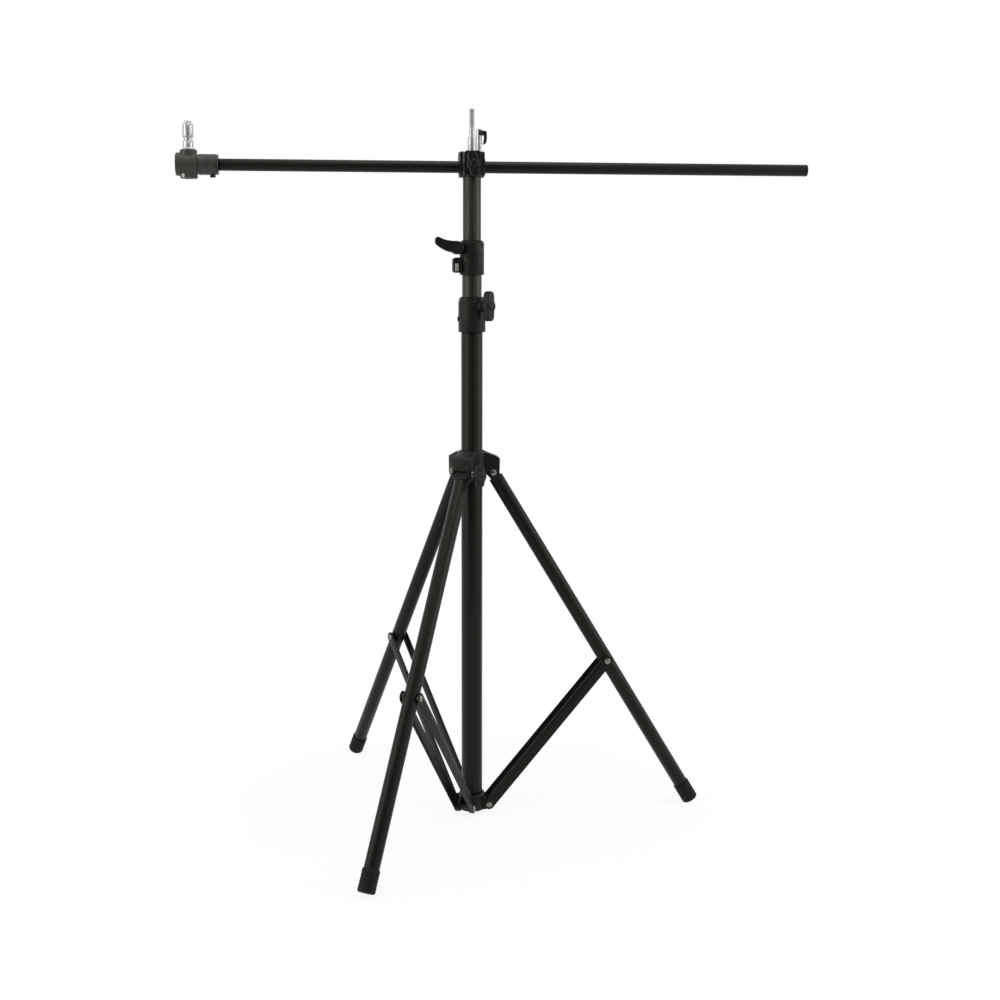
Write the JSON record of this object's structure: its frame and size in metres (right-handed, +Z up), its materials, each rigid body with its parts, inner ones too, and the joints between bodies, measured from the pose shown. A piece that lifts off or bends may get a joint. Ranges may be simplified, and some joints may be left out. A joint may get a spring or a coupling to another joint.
{
  "type": "convertible boom light stand",
  "caption": "Folding tripod-based light stand with a telescoping column and a tilting clamp that carries a sliding boom tube with a lamp spigot at its end",
  "frame": {"origin": "centre of the flat underside of the column's foot plug", "axes": "+Z up along the column; the boom lies along X with the lamp spigot towards -X; -Y faces the viewer of the picture"},
  "size_m": [0.9467, 0.6254, 1.066],
  "materials": {
    "tube_paint": "satin near-black paint on steel tube",
    "casting": "cast aluminium with satin black coating",
    "plastic": "moulded black plastic",
    "rubber": "matte black rubber",
    "chrome": "bright chrome plate",
    "zinc": "zinc-plated steel"
  },
  "bodies": {
    "column": {"column_tube": "tube_paint", "base_plug": "plastic", "spreader_bracket": "casting", "spreader_rivet_1": "zinc", "spreader_rivet_2": "zinc", "spreader_rivet_3": "zinc", "lower_lock_collar": "casting"},
    "lower_knob": {"lower_lock_knob": "plastic", "lower_lock_screw": "zinc"},
    "leg_slider": {"leg_collar": "casting", "leg_collar_liner": "plastic", "leg_pivot_rivet_1": "zinc", "leg_pivot_rivet_2": "zinc", "leg_pivot_rivet_3": "zinc"},
    "leg_knob": {"leg_lock_knob": "plastic", "leg_lock_screw": "zinc"},
    "leg_1": {"leg_tube_1": "tube_paint", "leg_top_fitting_1": "casting", "leg_foot_1": "rubber", "strut_pin_1": "zinc"},
    "leg_2": {"leg_tube_2": "tube_paint", "leg_top_fitting_2": "casting", "leg_foot_2": "rubber", "strut_pin_2": "zinc"},
    "leg_3": {"leg_tube_3": "tube_paint", "leg_top_fitting_3": "casting", "leg_foot_3": "rubber", "strut_pin_3": "zinc"},
    "strut_1": {"strut_bar_1_a": "tube_paint", "strut_bar_1_b": "tube_paint"},
    "strut_2": {"strut_bar_2_a": "tube_paint", "strut_bar_2_b": "tube_paint"},
    "strut_3": {"strut_bar_3_a": "tube_paint", "strut_bar_3_b": "tube_paint"},
    "mid_guide": {"mid_liner": "plastic"},
    "mid_section": {"mid_tube": "tube_paint", "mid_end_bushing": "plastic", "upper_lock_collar": "casting", "upper_clamp_bolt": "zinc"},
    "upper_lever": {"upper_lock_lever": "plastic", "upper_lever_bolt": "zinc"},
    "top_guide": {"top_liner": "plastic"},
    "top_section": {"top_tube": "tube_paint", "top_end_bushing": "plastic", "tilt_head": "casting", "light_stud": "chrome", "tilt_washer": "rubber"},
    "tilt_knob": {"tilt_lock_knob": "plastic", "tilt_bolt": "zinc"},
    "clamp_sleeve": {"boom_sleeve": "casting"},
    "boom_lock": {"boom_lock_screw": "chrome", "boom_lock_handle": "plastic"},
    "boom_guide": {"boom_liner": "plastic"},
    "boom": {"boom_tube": "tube_paint", "boom_end_cap": "plastic"},
    "lamp_head": {"head_casting": "casting", "head_sleeve": "casting", "spigot_set_screw": "zinc"},
    "head_screw": {"head_lock_screw": "plastic"},
    "lamp_spigot": {"spigot": "chrome"}
  },
  "joints": [
    {"name": "leg_fold", "type": "slide", "parent": "column", "child": "leg_slider", "axis": [0, 0, 1], "range_m": [0, 0.1154]},
    {"name": "leg_lock_turn", "type": "hinge", "parent": "leg_slider", "child": "leg_knob", "pos_m": [0, 0, 0.5294], "axis": [0.1392, -0.9903, 0], "range_deg": [0, 360]},
    {"name": "lower_lock_turn", "type": "hinge", "parent": "column", "child": "lower_knob", "pos_m": [0, 0, 0.778], "axis": [0.6293, -0.7771, 0], "range_deg": [0, 360]},
    {"name": "leg_1_pivot", "type": "hinge", "parent": "leg_slider", "child": "leg_1", "pos_m": [0.031, 0, 0.5304], "axis": [0, 1, 0], "range_deg": [0, 31.07]},
    {"name": "leg_2_pivot", "type": "hinge", "parent": "leg_slider", "child": "leg_2", "pos_m": [-0.0155, 0.02685, 0.5304], "axis": [-0.866, -0.5, 0], "range_deg": [0, 31.07]},
    {"name": "leg_3_pivot", "type": "hinge", "parent": "leg_slider", "child": "leg_3", "pos_m": [-0.0155, -0.02685, 0.5304], "axis": [0.866, -0.5, 0], "range_deg": [0, 31.07]},
    {"name": "strut_1_pivot", "type": "hinge", "parent": "column", "child": "strut_1", "pos_m": [0.0255, 0, 0.0106], "axis": [0, 1, 0], "range_deg": [-38.34, 0]},
    {"name": "strut_2_pivot", "type": "hinge", "parent": "column", "child": "strut_2", "pos_m": [-0.01275, 0.02208, 0.0106], "axis": [-0.866, -0.5, 0], "range_deg": [-38.34, 0]},
    {"name": "strut_3_pivot", "type": "hinge", "parent": "column", "child": "strut_3", "pos_m": [-0.01275, -0.02208, 0.0106], "axis": [0.866, -0.5, 0], "range_deg": [-38.34, 0]},
    {"name": "mid_swivel", "type": "hinge", "parent": "column", "child": "mid_guide", "pos_m": [0, 0, 0.79], "axis": [0, 0, 1], "continuous": true},
    {"name": "mid_slide", "type": "slide", "parent": "mid_guide", "child": "mid_section", "axis": [0, 0, 1], "range_m": [-0.026, 0.55]},
    {"name": "upper_lever_turn", "type": "hinge", "parent": "mid_section", "child": "upper_lever", "pos_m": [-0.0237, 0, 0.863], "axis": [0, 1, 0], "range_deg": [-25, 60]},
    {"name": "top_swivel", "type": "hinge", "parent": "mid_section", "child": "top_guide", "pos_m": [0, 0, 0.872], "axis": [0, 0, -1], "continuous": true},
    {"name": "top_slide", "type": "slide", "parent": "top_guide", "child": "top_section", "axis": [0, 0, 1], "range_m": [-0.088, 0.5]},
    {"name": "tilt_lock_turn", "type": "hinge", "parent": "top_section", "child": "tilt_knob", "pos_m": [0, 0, 0.9825], "axis": [0, -1, 0], "range_deg": [0, 360]},
    {"name": "boom_tilt", "type": "hinge", "parent": "top_section", "child": "clamp_sleeve", "pos_m": [0, 0, 0.9825], "axis": [0, 1, 0], "range_deg": [-75, 75]},
    {"name": "boom_lock_turn", "type": "hinge", "parent": "clamp_sleeve", "child": "boom_lock", "pos_m": [0.0138, 0.031, 0.9825], "axis": [0, 0, 1], "range_deg": [0, 360]},
    {"name": "boom_roll", "type": "hinge", "parent": "clamp_sleeve", "child": "boom_guide", "pos_m": [0, 0.031, 0.9825], "axis": [1, 0, 0], "continuous": true},
    {"name": "boom_slide", "type": "slide", "parent": "boom_guide", "child": "boom", "axis": [1, 0, 0], "range_m": [-0.47, 0.345]},
    {"name": "lamp_head_roll", "type": "hinge", "parent": "boom", "child": "lamp_head", "pos_m": [-0.3684, 0.031, 0.9825], "axis": [1, 0, 0], "continuous": true},
    {"name": "head_lock_turn", "type": "hinge", "parent": "lamp_head", "child": "head_screw", "pos_m": [-0.377, 0.031, 0.9825], "axis": [0, 0, -1], "range_deg": [0, 360]},
    {"name": "spigot_swivel", "type": "hinge", "parent": "lamp_head", "child": "lamp_spigot", "pos_m": [-0.4111, 0.031, 0.9825], "axis": [0, 0, 1], "continuous": true}
  ],
  "couplings": [
    {"joint": "leg_1_pivot", "follows": "leg_fold", "rad_per_m": 4.699},
    {"joint": "leg_2_pivot", "follows": "leg_fold", "rad_per_m": 4.699},
    {"joint": "leg_3_pivot", "follows": "leg_fold", "rad_per_m": 4.699},
    {"joint": "strut_1_pivot", "follows": "leg_fold", "rad_per_m": -5.7986},
    {"joint": "strut_2_pivot", "follows": "leg_fold", "rad_per_m": -5.7986},
    {"joint": "strut_3_pivot", "follows": "leg_fold", "rad_per_m": -5.7986}
  ]
}
